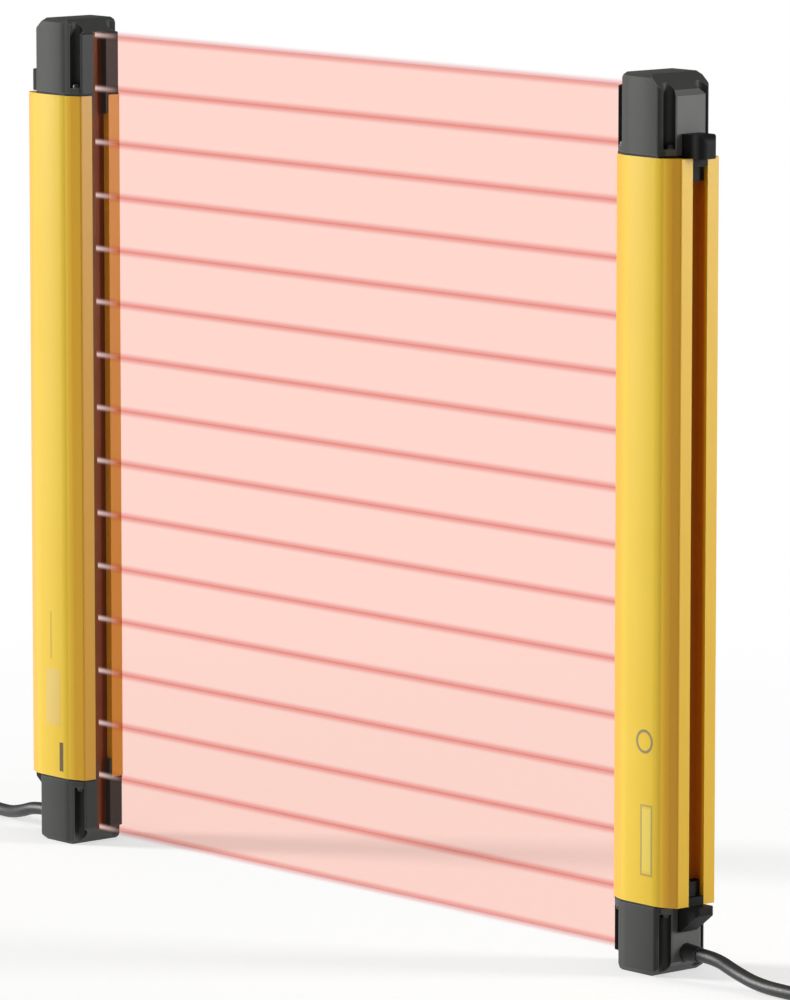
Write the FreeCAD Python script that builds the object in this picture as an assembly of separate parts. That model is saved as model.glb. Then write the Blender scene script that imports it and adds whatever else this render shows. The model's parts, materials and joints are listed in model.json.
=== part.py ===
import FreeCAD, Part
import math
import os

# Safety light curtain: a transmitter post and a receiver post that face each other across a gap.
# Each post is an extruded aluminium housing with a tinted front window, a slotted back, moulded end
# caps, the optics behind the window, and a short lead with a round plug out of the bottom cap.
#
# Lengths are millimetres. X runs along the light beams, from the transmitter to the receiver, and Z up.
# The origin is on the standing surface, midway between the posts. A post is made in a frame of its own,
# with X from its back (0) to its front face, Y across it and Z up from its foot, and is then placed.

# The light field
BEAM_COUNT = 16
BEAM_PITCH = 20.0
END_BEAM_MARGIN = 6.0  # from an end beam to the end of the post
WINDOW_SPACING = 300.0  # from one window's face to the other's

# The housing's section
BODY_DEPTH = 32.0
BODY_WIDTH = 24.0
FRONT_FACET_DEPTH = 6.6  # the slanting facets: along X
REAR_FACET_DEPTH = 6.0
FRONT_FACET_RUN = 2.75  # and along Y
REAR_FACET_RUN = 3.25
SIDE_BLEND = 14.0  # radius where a side meets a slanting facet
FACE_BLEND = 0.8  # radius where a facet meets the front or back face
WALL = 1.6
SLOT_MOUTH = 7.0
SLOT_WIDTH = 11.0
SLOT_LIP = 2.0
SLOT_DEPTH = 6.4
CHAMBER_CORNER_DEPTH = 6.0  # the cut rear corners of the electronics chamber: along X
CHAMBER_CORNER_RUN = 6.4  # and along Y
NECK_DEPTH = 2.7  # the narrow stretch of the chamber, behind the window's seals
NECK_WIDTH = 8.4
RECESS_WIDTH = 8.0
RECESS_DEPTH = 3.0

# The window
WINDOW_THICKNESS = 2.0
WINDOW_WIDTH = 11.2
WINDOW_END_MARGIN = 4.3  # from the pane's end to the end of the post
SEAL_THICKNESS = 0.8

# The end caps
TOP_CAP_LENGTH = 27.7
BOTTOM_CAP_LENGTH = 24.2
GASKET_THICKNESS = 0.8
GASKET_INSET = 0.1
CAP_INSET = 0.2  # how far the cap stands in from the housing's sides and front
CAP_SET_BACK = 4.8  # how far it stands in from the housing's back
CAP_REAR_FACET_DEPTH = 3.6
CAP_REAR_FACET_RUN = 5.2
CAP_BLEND = 1.6
CAP_END_WALL = 2.0
RECESS_END_MARGIN = 4.9  # from the end of the window recess to the end of the post
TOP_CHAMFERS = {"front": (6.4, 5.6), "rear": (8.5, 7.4), "side": (1.4, 1.4)}  # depth in, length along Z
BOTTOM_CHAMFERS = {"front": (6.0, 6.6), "rear": (6.2, 5.0), "side": (1.2, 1.4)}
TONGUE_LENGTH = 7.0  # the cap's tongues, which line the ends of the housing's window recess
TONGUE_THICKNESS = 0.8
TONGUE_SET_IN = 0.4

# The screws that hold the caps
SCREW_RADIUS = 1.1
SCREW_LENGTH = 12.0
SCREW_HEAD_RADIUS = 1.9
SCREW_HEAD_HEIGHT = 1.6
SCREW_SEAT_HEIGHT = 2.2  # plastic under the screw's head
SCREW_HOLE_CLEARANCE = 0.1
PORT_CLEARANCE = 0.05
PORT_DEPTH = 16.0
WELL_CLEARANCE = 0.2
REAR_SCREW_INSET = 4.3  # from the housing's outline, measured across it
FRONT_SCREW_INSET = 2.3
REAR_SCREW_SET_IN = 2.9  # from the cap's back face
FRONT_SCREW_SET_IN = 3.2  # from the housing's front face

# The plugs that close the ends of the back slot
PLUG_WIDTH = 8.4
PLUG_BULGE = 5.0  # how far it stands out behind the housing
PLUG_TONGUE_LENGTH = 8.0
PLUG_MOUTH_SET_DOWN = 5.0  # how far short of the tongue its stretch in the slot's mouth ends
TOP_PLUG_HEIGHT = 8.2
BOTTOM_PLUG_HEIGHT = 9.5
BOTTOM_PLUG_LAND = 2.6
TOP_PLUG_ROUND = 3.0
BOTTOM_PLUG_ROUND = 1.6

# The optics and the electronics
BOARD_THICKNESS = 1.2
BOARD_SIDE_GAP = 0.9
BOARD_REAR_SPACE = 6.1  # behind the board, for its chips, socket and lead
HOLDER_NOSE_DEPTH = 0.8
DIODE_RADIUS = 1.5
DIODE_LENGTH = 3.6
DIODE_TIP = 0.9
APERTURE_REAR_RADIUS = 1.8
APERTURE_FRONT_RADIUS = 3.0
LENS_BASE_THICKNESS = 1.0
LENS_RADIUS = 3.1
LENS_HEIGHT = 0.9
LENS_STRIP_WIDTH = 7.6
CHIP_HEIGHT = 1.4
CHIPS = [(6.0, 12.0), (9.0, 9.0), (6.0, 10.0), (7.0, 14.0), (5.0, 5.0), (9.0, 16.0)]  # width, length
LAMP_SIZE = (1.2, 2.0, 1.6)
LAMP_COUNT = 3
LAMP_PITCH = 4.0
SOCKET_DEPTH = 3.0
SOCKET_WIDTH = 9.0
SOCKET_HEIGHT = 6.6
INNER_LEAD_RADIUS = 1.4

# The lead and its strain relief
RELIEF_LENGTH = 7.0
RELIEF_BASE_RADIUS = 3.2
RELIEF_TIP_RADIUS = 2.7
RELIEF_NECK_RADIUS = 2.8
RELIEF_FLANGE_RADIUS = 3.5
RELIEF_FLANGE_THICKNESS = 1.2
RELIEF_RISE = 2.5  # from the cap's end wall to the flange
RELIEF_BOSS_WALL = 0.8  # the round boss that the relief comes out of
CABLE_RADIUS = 2.4
CABLE_FLOOR_GAP = 0.1

# The round plug on the lead's end
PLUG_BODY_LENGTH = 20.0
PLUG_BODY_RADIUS = 6.2
PLUG_TAIL_RADIUS = 3.3
PLUG_TAIL_LENGTH = 8.0
PLUG_NECK_RADIUS = 4.9
PLUG_NECK_LENGTH = 6.0
NUT_RADIUS = 7.3
NUT_LENGTH = 13.5
NUT_COLLAR_LENGTH = 4.5
NUT_THREAD_RADIUS = 6.0
NUT_FLUTES = 20
NUT_FLUTE_DEPTH = 0.45
INSERT_RADIUS = 4.2
INSERT_LENGTH = 3.0
KEY_WIDTH = 1.2
PIN_RADIUS = 0.5
PIN_LENGTH = 5.2
PIN_CIRCLE_RADIUS = 2.4
PIN_COUNT = 4

CLEARANCE = 0.1  # between pieces that slide together
EDGE_OF_CUT = 1.0  # how far a cutting shape runs past the face that it cuts

# Worked out from the sizes above
POST_LENGTH = (BEAM_COUNT - 1) * BEAM_PITCH + 2 * END_BEAM_MARGIN
HOUSING_BASE = BOTTOM_CAP_LENGTH + GASKET_THICKNESS
HOUSING_TOP = POST_LENGTH - TOP_CAP_LENGTH - GASKET_THICKNESS
HOUSING_LENGTH = HOUSING_TOP - HOUSING_BASE
WINDOW_FRONT = BODY_DEPTH - RECESS_DEPTH
WINDOW_BACK = WINDOW_FRONT - WINDOW_THICKNESS
SEAL_BACK = WINDOW_BACK - SEAL_THICKNESS
NECK_BACK = SEAL_BACK - NECK_DEPTH
CHAMBER_BACK = SLOT_DEPTH + WALL
CHAMBER_WIDTH = BODY_WIDTH - 2 * WALL
FRONT_FACE_WIDTH = BODY_WIDTH - 2 * FRONT_FACET_RUN
REAR_FACE_WIDTH = BODY_WIDTH - 2 * REAR_FACET_RUN
GROOVE_WIDTH = WINDOW_WIDTH + 2 * CLEARANCE
HOLDER_FRONT = NECK_BACK - CLEARANCE
BOARD_BACK = CHAMBER_BACK + BOARD_REAR_SPACE
BOARD_FRONT = BOARD_BACK + BOARD_THICKNESS
LENS_BACK = HOLDER_FRONT + HOLDER_NOSE_DEPTH
OPTICS_END = CAP_END_WALL + CLEARANCE
BOARD_END = OPTICS_END + CLEARANCE
EXIT_HEIGHT = CAP_END_WALL + RELIEF_RISE + RELIEF_FLANGE_RADIUS
CABLE_HEIGHT = CABLE_RADIUS + CABLE_FLOOR_GAP
BEAM_HEIGHTS = [END_BEAM_MARGIN + n * BEAM_PITCH for n in range(BEAM_COUNT)]

# How each lead lies, from the strain relief's tip: away from the post, along Y, and height
LEAD_ROUTES = {
    "transmitter": [
        (0.0, 0.0, EXIT_HEIGHT),
        (8.0, 0.0, EXIT_HEIGHT),
        (18.0, 1.2, 4.9),
        (30.0, 4.4, CABLE_HEIGHT),
        (46.0, 7.2, CABLE_HEIGHT),
        (64.0, 7.6, CABLE_HEIGHT),
        (82.0, 4.6, CABLE_HEIGHT),
        (99.0, 0.6, 4.6),
        (113.0, -1.6, NUT_RADIUS),
        (122.0, -2.2, NUT_RADIUS),
    ],
    "receiver": [
        (0.0, 0.0, EXIT_HEIGHT),
        (8.0, 0.0, EXIT_HEIGHT),
        (18.0, -0.2, 4.8),
        (30.0, -1.2, CABLE_HEIGHT),
        (45.0, -2.8, CABLE_HEIGHT),
        (63.0, -1.6, CABLE_HEIGHT),
        (81.0, 2.4, CABLE_HEIGHT),
        (98.0, 5.4, 4.6),
        (112.0, 6.0, NUT_RADIUS),
        (121.0, 5.4, NUT_RADIUS),
    ],
}
ARC_SHARE = 0.45  # of the shorter run beside a bend of the lead

X_AXIS = FreeCAD.Vector(1, 0, 0)
Y_AXIS = FreeCAD.Vector(0, 1, 0)
Z_AXIS = FreeCAD.Vector(0, 0, 1)
ORIGIN = FreeCAD.Vector(0, 0, 0)


def prism(points, base, height):
    """A straight-sided block on an outline in the XY plane."""
    corners = [FreeCAD.Vector(x, y, base) for x, y in points]
    return Part.Face(Part.makePolygon(corners + corners[:1])).extrude(Z_AXIS * height)


def mirrored(half):
    """A whole outline from its +Y half, given from back to front."""
    return half + [(x, -y) for x, y in reversed(half)]


def block(x_range, width, base, height):
    """A box that is centred across the post."""
    (x0, x1), half = x_range, width / 2
    return prism([(x0, -half), (x1, -half), (x1, half), (x0, half)], base, height)


def side_prism(points, width):
    """A block on an outline in the XZ plane, centred across the post."""
    corners = [FreeCAD.Vector(x, -width / 2, z) for x, z in points]
    return Part.Face(Part.makePolygon(corners + corners[:1])).extrude(Y_AXIS * width)


def turned(points):
    """A solid turned about the X axis from an outline of (x, radius) points."""
    corners = [FreeCAD.Vector(x, radius, 0) for x, radius in points]
    return Part.Face(Part.makePolygon(corners + corners[:1])).revolve(ORIGIN, X_AXIS, 360)


def cylinder(radius, length, start, direction):
    return Part.makeCylinder(radius, length, FreeCAD.Vector(*start), direction)


def blended(solid, corners, radius):
    """The upright edges that stand at the given (x, y) corners, rounded."""
    chosen = []
    for edge in solid.Edges:
        ends = [vertex.Point for vertex in edge.Vertexes]
        upright = len(ends) == 2 and abs(ends[0].z - ends[1].z) > radius
        at_corner = any(math.hypot(ends[0].x - x, ends[0].y - y) < 1e-6 for x, y in corners)
        if upright and at_corner:
            chosen.append(edge)
    return solid.makeFillet(radius, chosen)


def housing_outline():
    return mirrored([
        (0, REAR_FACE_WIDTH / 2),
        (REAR_FACET_DEPTH, BODY_WIDTH / 2),
        (BODY_DEPTH - FRONT_FACET_DEPTH, BODY_WIDTH / 2),
        (BODY_DEPTH, FRONT_FACE_WIDTH / 2),
    ])


def cap_outline(inset):
    """The caps' outline: the housing's, set in, and cut back behind."""
    half = BODY_WIDTH / 2 - inset
    rear = CAP_SET_BACK + inset - CAP_INSET
    return mirrored([
        (rear, half - CAP_REAR_FACET_RUN),
        (rear + CAP_REAR_FACET_DEPTH, half),
        (BODY_DEPTH - FRONT_FACET_DEPTH, half),
        (BODY_DEPTH - inset, FRONT_FACE_WIDTH / 2 - inset),
    ])


def chamber_outline():
    """The chamber for the electronics and the narrow neck in front of it."""
    return mirrored([
        (CHAMBER_BACK, CHAMBER_WIDTH / 2 - CHAMBER_CORNER_RUN),
        (CHAMBER_BACK + CHAMBER_CORNER_DEPTH, CHAMBER_WIDTH / 2),
        (NECK_BACK, CHAMBER_WIDTH / 2),
        (NECK_BACK, NECK_WIDTH / 2),
        (SEAL_BACK, NECK_WIDTH / 2),
    ])


def front_cavity(base, length):
    """The chamber, the window's groove and the recess in front of it."""
    chamber = prism(chamber_outline(), base, length)
    groove = block((SEAL_BACK, WINDOW_FRONT), GROOVE_WIDTH, base, length)
    recess = block((WINDOW_FRONT, BODY_DEPTH + EDGE_OF_CUT), RECESS_WIDTH, base, length)
    return chamber.fuse([groove, recess])


def cap_cavity(length, chamfers):
    """The same hollows inside a cap, closed by its end wall and its chamfers."""
    chamber = prism(chamber_outline(), 0, length - CAP_END_WALL)
    chamber = chamber.common(chamfer_envelope(length - CAP_END_WALL, chamfers))
    groove_length = length - WINDOW_END_MARGIN + CLEARANCE
    groove = block((SEAL_BACK, WINDOW_FRONT), GROOVE_WIDTH, 0, groove_length)
    recess_width = RECESS_WIDTH - 2 * (TONGUE_THICKNESS + CLEARANCE)
    recess_range = (WINDOW_FRONT, BODY_DEPTH + EDGE_OF_CUT)
    recess = block(recess_range, recess_width, 0, length - RECESS_END_MARGIN)
    return chamber.fuse([groove, recess])


def outline_half_width(depth):
    """Half the housing's width at a depth from its back."""
    corners = [(x, y) for x, y in housing_outline() if y > 0]
    for (x0, y0), (x1, y1) in zip(corners, corners[1:]):
        if x0 <= depth <= x1:
            return y0 + (y1 - y0) * (depth - x0) / (x1 - x0)
    return BODY_WIDTH / 2


def screw_places():
    """Each cap screw's (x, y) and the direction in which its well opens, as (dx, dy)."""
    rear_x = CAP_SET_BACK + REAR_SCREW_SET_IN
    front_x = BODY_DEPTH - FRONT_SCREW_SET_IN
    rear_y = outline_half_width(rear_x) - REAR_SCREW_INSET
    front_y = outline_half_width(front_x) - FRONT_SCREW_INSET
    rear_length = math.hypot(CAP_REAR_FACET_DEPTH, CAP_REAR_FACET_RUN)
    front_length = math.hypot(FRONT_FACET_DEPTH, FRONT_FACET_RUN)
    rear_way = (-CAP_REAR_FACET_RUN / rear_length, CAP_REAR_FACET_DEPTH / rear_length)
    front_way = (FRONT_FACET_RUN / front_length, FRONT_FACET_DEPTH / front_length)
    places = []
    for side in (1, -1):
        places.append(((rear_x, side * rear_y), (rear_way[0], side * rear_way[1])))
        places.append(((front_x, side * front_y), (front_way[0], side * front_way[1])))
    return places


def make_housing():
    """The extruded housing: slotted back, closed chamber, grooved window recess and four screw ports."""
    outline = housing_outline()
    body = prism(outline, HOUSING_BASE, HOUSING_LENGTH)
    body = blended(body, [p for p in outline if abs(p[1]) == BODY_WIDTH / 2], SIDE_BLEND)
    body = blended(body, [p for p in outline if abs(p[1]) != BODY_WIDTH / 2], FACE_BLEND)
    cuts = [
        block((-EDGE_OF_CUT, SLOT_LIP), SLOT_MOUTH, HOUSING_BASE, HOUSING_LENGTH),
        block((SLOT_LIP, SLOT_DEPTH), SLOT_WIDTH, HOUSING_BASE, HOUSING_LENGTH),
        front_cavity(HOUSING_BASE, HOUSING_LENGTH),
    ]
    for (x, y), _ in screw_places():
        radius = SCREW_RADIUS + PORT_CLEARANCE
        cuts.append(cylinder(radius, PORT_DEPTH, (x, y, HOUSING_BASE), Z_AXIS))
        cuts.append(cylinder(radius, PORT_DEPTH, (x, y, HOUSING_TOP), -Z_AXIS))
    return body.cut(cuts)


def make_window():
    length = POST_LENGTH - 2 * WINDOW_END_MARGIN
    return block((WINDOW_BACK, WINDOW_FRONT), WINDOW_WIDTH, WINDOW_END_MARGIN, length)


def make_window_seals():
    """The two strips between the back of the pane and its groove."""
    length = POST_LENGTH - 2 * WINDOW_END_MARGIN
    width = (WINDOW_WIDTH - NECK_WIDTH) / 2
    strips = []
    for side in (1, -1):
        strip = block((SEAL_BACK, WINDOW_BACK), width, WINDOW_END_MARGIN, length)
        strips.append(strip.translated(Y_AXIS * (side * (NECK_WIDTH + width) / 2)))
    return Part.makeCompound(strips)


def chamfer_envelope(length, chamfers):
    """The space that a cap's end chamfers leave to it."""
    front_in, front_up = chamfers["front"]
    rear_in, rear_up = chamfers["rear"]
    side_in, side_up = chamfers["side"]
    rear, front = CAP_SET_BACK, BODY_DEPTH - CAP_INSET
    profile = [
        (rear, -TONGUE_LENGTH - EDGE_OF_CUT),
        (rear, length - rear_up),
        (rear + rear_in, length),
        (front - front_in, length),
        (front, length - front_up),
        (front, -TONGUE_LENGTH - EDGE_OF_CUT),
    ]
    along = side_prism(profile, BODY_WIDTH)
    half = BODY_WIDTH / 2 - CAP_INSET
    across_points = [
        (-half, -TONGUE_LENGTH - EDGE_OF_CUT),
        (-half, length - side_up),
        (-half + side_in, length),
        (half - side_in, length),
        (half, length - side_up),
        (half, -TONGUE_LENGTH - EDGE_OF_CUT),
    ]
    corners = [FreeCAD.Vector(0, y, z) for y, z in across_points]
    across = Part.Face(Part.makePolygon(corners + corners[:1])).extrude(X_AXIS * BODY_DEPTH)
    return along.common(across)


def screw_well(place, way, length):
    """The open-sided well that a cap screw's head goes down, and the hole under its seat."""
    (x, y), (dx, dy) = place, way
    radius = SCREW_HEAD_RADIUS + WELL_CLEARANCE
    height = length - SCREW_SEAT_HEIGHT
    well = cylinder(radius, height + EDGE_OF_CUT, (x, y, SCREW_SEAT_HEIGHT), Z_AXIS)
    reach = BODY_WIDTH / 2
    mouth = prism([
        (x - dy * radius, y + dx * radius),
        (x - dy * radius + dx * reach, y + dx * radius + dy * reach),
        (x + dy * radius + dx * reach, y - dx * radius + dy * reach),
        (x + dy * radius, y - dx * radius),
    ], SCREW_SEAT_HEIGHT, height + EDGE_OF_CUT)
    hole_radius = SCREW_RADIUS + SCREW_HOLE_CLEARANCE
    hole = cylinder(hole_radius, length, (x, y, -EDGE_OF_CUT), Z_AXIS)
    return well.fuse([mouth, hole])


def cap_tongues():
    """The two tongues that reach from a cap into the housing's window recess."""
    x_range = (WINDOW_FRONT + CLEARANCE, BODY_DEPTH - TONGUE_SET_IN)
    reach = TONGUE_LENGTH + GASKET_THICKNESS
    tongue = block(x_range, TONGUE_THICKNESS, -reach, reach + TONGUE_THICKNESS)
    middle = RECESS_WIDTH / 2 - CLEARANCE - TONGUE_THICKNESS / 2
    return [tongue.translated(Y_AXIS * side * middle) for side in (1, -1)]


def make_cap(length, chamfers, boss=None):
    """An end cap that opens at Z 0, towards the housing, and closes at the given length."""
    outline = cap_outline(CAP_INSET)
    shared = [p for p in outline if p[0] == BODY_DEPTH - FRONT_FACET_DEPTH]
    body = blended(prism(outline, 0, length), shared, SIDE_BLEND)
    body = blended(body, [p for p in outline if p not in shared], CAP_BLEND)
    body = body.common(chamfer_envelope(length, chamfers))
    if boss:
        body = body.fuse(boss)
    wells = [screw_well(place, way, length) for place, way in screw_places()]
    body = body.cut([cap_cavity(length, chamfers)] + wells)
    return body.fuse(cap_tongues()).removeSplitter()


def make_gasket():
    """The flat gasket between a cap and the housing, from Z 0 up."""
    sheet = prism(cap_outline(CAP_INSET + GASKET_INSET), 0, GASKET_THICKNESS)
    cuts = [front_cavity(0, GASKET_THICKNESS)]
    for (x, y), _ in screw_places():
        cuts.append(cylinder(SCREW_RADIUS + SCREW_HOLE_CLEARANCE, GASKET_THICKNESS, (x, y, 0), Z_AXIS))
    return sheet.cut(cuts)


def flipped(shape):
    """A piece made for the top of the post, turned over for its bottom."""
    return shape.rotated(ORIGIN, X_AXIS, 180)


def at_top(shape):
    return shape.translated(Z_AXIS * (POST_LENGTH - TOP_CAP_LENGTH))


def at_bottom(shape):
    return flipped(shape).translated(Z_AXIS * BOTTOM_CAP_LENGTH)


def make_top_cap():
    return at_top(make_cap(TOP_CAP_LENGTH, TOP_CHAMFERS))


def make_bottom_cap():
    """The bottom cap, with a round boss and a hole in its back wall for the lead."""
    height = BOTTOM_CAP_LENGTH - EXIT_HEIGHT
    boss_radius = RELIEF_BASE_RADIUS + RELIEF_BOSS_WALL
    boss = cylinder(boss_radius, CHAMBER_BACK - CAP_SET_BACK, (CAP_SET_BACK, 0, height), X_AXIS)
    cap = at_bottom(make_cap(BOTTOM_CAP_LENGTH, BOTTOM_CHAMFERS, boss))
    hole_radius = RELIEF_NECK_RADIUS + CLEARANCE
    return cap.cut(cylinder(hole_radius, CHAMBER_BACK, (0, 0, EXIT_HEIGHT), X_AXIS))


def make_screw():
    """A pan-head screw that points down, with its head's seat at Z 0."""
    shank = cylinder(SCREW_RADIUS, SCREW_LENGTH, (0, 0, -SCREW_LENGTH), Z_AXIS)
    head = cylinder(SCREW_HEAD_RADIUS, SCREW_HEAD_HEIGHT, (0, 0, 0), Z_AXIS)
    rim = [edge for edge in head.Edges if edge.BoundBox.ZMin > SCREW_HEAD_HEIGHT / 2]
    return head.makeChamfer(SCREW_HEAD_HEIGHT / 3, rim).fuse(shank).removeSplitter()


def make_cap_screws():
    screws = []
    for (x, y), _ in screw_places():
        screw = make_screw().translated(FreeCAD.Vector(x, y, SCREW_SEAT_HEIGHT))
        screws += [at_top(screw), at_bottom(screw)]
    return Part.makeCompound(screws)


def plug_tongue():
    """The T-shaped tongue of a slot plug, which fills the slot's end below Z 0."""
    mouth_length = PLUG_TONGUE_LENGTH - PLUG_MOUTH_SET_DOWN
    mouth = block((0, SLOT_LIP + CLEARANCE), SLOT_MOUTH - 2 * CLEARANCE, -mouth_length, mouth_length)
    cross = block((SLOT_LIP + CLEARANCE, SLOT_DEPTH - CLEARANCE), SLOT_WIDTH - 2 * CLEARANCE,
                  -PLUG_TONGUE_LENGTH, PLUG_TONGUE_LENGTH)
    return mouth.fuse(cross)


def make_slot_plug(profile, rounding):
    """A slot plug whose head has the given side profile and stands on the housing's end at Z 0."""
    head = side_prism(profile, PLUG_WIDTH)
    rear_edges = [
        edge
        for edge in head.Edges
        if edge.BoundBox.XMax < CLEARANCE - PLUG_BULGE and edge.BoundBox.ZMax > CLEARANCE
    ]
    return head.makeFillet(rounding, rear_edges).fuse(plug_tongue()).removeSplitter()


def make_top_slot_plug():
    """The top plug: a rounded knob against the back of the cap."""
    front = CAP_SET_BACK - CLEARANCE
    profile = [
        (-PLUG_BULGE, 0),
        (-PLUG_BULGE, TOP_PLUG_HEIGHT),
        (front, TOP_PLUG_HEIGHT),
        (front, 0),
    ]
    return make_slot_plug(profile, TOP_PLUG_ROUND).translated(Z_AXIS * HOUSING_TOP)


def make_bottom_slot_plug():
    """The bottom plug: a wedge that runs out against the back of the cap."""
    front = CAP_SET_BACK - CLEARANCE
    profile = [
        (-PLUG_BULGE, 0),
        (-PLUG_BULGE, BOTTOM_PLUG_LAND),
        (front - RELIEF_BOSS_WALL, BOTTOM_PLUG_HEIGHT),
        (front, BOTTOM_PLUG_HEIGHT),
        (front, 0),
    ]
    return flipped(make_slot_plug(profile, BOTTOM_PLUG_ROUND)).translated(Z_AXIS * HOUSING_BASE)


def make_circuit_board():
    length = POST_LENGTH - 2 * BOARD_END
    width = CHAMBER_WIDTH - 2 * BOARD_SIDE_GAP
    return block((BOARD_BACK, BOARD_FRONT), width, BOARD_END, length)


def make_optics_holder():
    """The black carrier between the board and the lenses, with a flared aperture for each beam."""
    length = POST_LENGTH - 2 * OPTICS_END
    body = block((BOARD_FRONT, HOLDER_FRONT), CHAMBER_WIDTH - 2 * CLEARANCE, OPTICS_END, length)
    nose = block((HOLDER_FRONT, LENS_BACK), NECK_WIDTH - 2 * CLEARANCE, OPTICS_END, length)
    depth = LENS_BACK - BOARD_FRONT
    apertures = [
        Part.makeCone(APERTURE_REAR_RADIUS, APERTURE_FRONT_RADIUS, depth,
                      FreeCAD.Vector(BOARD_FRONT, 0, height), X_AXIS)
        for height in BEAM_HEIGHTS
    ]
    return body.fuse(nose).removeSplitter().cut(apertures)


def make_lens_strip():
    """The clear strip with one domed lens for each beam."""
    length = POST_LENGTH - 2 * OPTICS_END
    front = LENS_BACK + LENS_BASE_THICKNESS
    base = block((LENS_BACK, front), LENS_STRIP_WIDTH, OPTICS_END, length)
    ball_radius = (LENS_RADIUS**2 + LENS_HEIGHT**2) / (2 * LENS_HEIGHT)
    centre = FreeCAD.Vector(front + LENS_HEIGHT - ball_radius, 0, 0)
    ahead = block((front - CLEARANCE, front + LENS_HEIGHT), 2 * LENS_RADIUS, -LENS_RADIUS, 2 * LENS_RADIUS)
    dome = Part.makeSphere(ball_radius, centre).common(ahead)
    return base.fuse([dome.translated(Z_AXIS * height) for height in BEAM_HEIGHTS])


def make_diodes():
    """One light source or sensor for each beam, on the board behind its aperture."""
    front = BOARD_FRONT + DIODE_LENGTH
    diode = turned([
        (BOARD_FRONT, 0),
        (BOARD_FRONT, DIODE_RADIUS),
        (front - DIODE_TIP, DIODE_RADIUS),
        (front, DIODE_RADIUS - DIODE_TIP),
        (front, 0),
    ])
    return Part.makeCompound([diode.translated(Z_AXIS * height) for height in BEAM_HEIGHTS])


def make_board_chips():
    """The chips on the back of the board, spread evenly along the housing."""
    step = HOUSING_LENGTH / len(CHIPS)
    chips = []
    for number, (width, length) in enumerate(CHIPS):
        middle = HOUSING_BASE + step * (number + 0.5)
        chips.append(block((BOARD_BACK - CHIP_HEIGHT, BOARD_BACK), width, middle - length / 2, length))
    return Part.makeCompound(chips)


def make_indicator_lamps():
    """The small status lamps on the back of the board, at its top end."""
    depth, width, height = LAMP_SIZE
    top = POST_LENGTH - TOP_CAP_LENGTH / 2
    return Part.makeCompound([
        block((BOARD_BACK - depth, BOARD_BACK), width, top - number * LAMP_PITCH, height)
        for number in range(LAMP_COUNT)
    ])


def make_board_socket():
    """The socket on the board that the lead's wires plug into."""
    base = max(EXIT_HEIGHT - SOCKET_HEIGHT / 2, BOARD_END)
    return block((BOARD_BACK - SOCKET_DEPTH, BOARD_BACK), SOCKET_WIDTH, base, SOCKET_HEIGHT)


def make_inner_lead():
    """The lead's stretch inside the cap, from the strain relief to the socket."""
    start = CHAMBER_BACK + RELIEF_FLANGE_THICKNESS
    length = BOARD_BACK - SOCKET_DEPTH - start
    return cylinder(INNER_LEAD_RADIUS, length, (start, 0, EXIT_HEIGHT), X_AXIS)


def make_strain_relief():
    """The tapered relief: a tail behind the cap, a neck through its wall and a flange inside."""
    inside = CHAMBER_BACK + RELIEF_FLANGE_THICKNESS
    relief = turned([
        (CAP_SET_BACK - RELIEF_LENGTH, 0),
        (CAP_SET_BACK - RELIEF_LENGTH, RELIEF_TIP_RADIUS),
        (CAP_SET_BACK, RELIEF_BASE_RADIUS),
        (CAP_SET_BACK, RELIEF_NECK_RADIUS),
        (CHAMBER_BACK, RELIEF_NECK_RADIUS),
        (CHAMBER_BACK, RELIEF_FLANGE_RADIUS),
        (inside, RELIEF_FLANGE_RADIUS),
        (inside, 0),
    ])
    return relief.translated(Z_AXIS * EXIT_HEIGHT)


def rounded_path(points):
    """Straight runs joined by tangent arcs, as one wire, with the arcs' radii."""
    edges, radii, start = [], [], points[0]
    for before, corner, after in zip(points, points[1:], points[2:]):
        back, ahead = before - corner, after - corner
        reach = ARC_SHARE * min(back.Length, ahead.Length)
        half_turn = (math.pi - back.getAngle(ahead)) / 2
        radius = reach / math.tan(half_turn)
        back.normalize()
        ahead.normalize()
        inward = back + ahead
        inward.normalize()
        middle = corner + inward * (radius / math.cos(half_turn) - radius)
        edges.append(Part.LineSegment(start, corner + back * reach).toShape())
        edges.append(Part.Arc(corner + back * reach, middle, corner + ahead * reach).toShape())
        radii.append(radius)
        start = corner + ahead * reach
    edges.append(Part.LineSegment(start, points[-1]).toShape())
    return Part.Wire(edges), radii


def lead_points(side):
    """A lead's route in the row's frame."""
    outward = {"transmitter": -1, "receiver": 1}[side]
    tip = WINDOW_SPACING / 2 + WINDOW_FRONT - CAP_SET_BACK + RELIEF_LENGTH
    return [FreeCAD.Vector(outward * (tip + away), across, height)
            for away, across, height in LEAD_ROUTES[side]]


def make_cable(side):
    points = lead_points(side)
    path, radii = rounded_path(points)
    ring = Part.Wire(Part.makeCircle(CABLE_RADIUS, points[0], points[1] - points[0]))
    tube = path.makePipeShell([ring], True, False)
    share = tube.Volume / (math.pi * CABLE_RADIUS**2 * path.Length)
    print(side, "lead", round(path.Length, 1), "mm, volume share", round(share, 4),
          "radii", [round(radius) for radius in radii])
    return tube


def make_plug_body():
    """The moulded grip of the plug, along X from the lead's end."""
    end = PLUG_BODY_LENGTH + PLUG_NECK_LENGTH
    return turned([
        (0, 0),
        (0, PLUG_TAIL_RADIUS),
        (PLUG_TAIL_LENGTH, PLUG_BODY_RADIUS),
        (PLUG_BODY_LENGTH, PLUG_BODY_RADIUS),
        (PLUG_BODY_LENGTH, PLUG_NECK_RADIUS),
        (end, PLUG_NECK_RADIUS),
        (end, 0),
    ])


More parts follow.
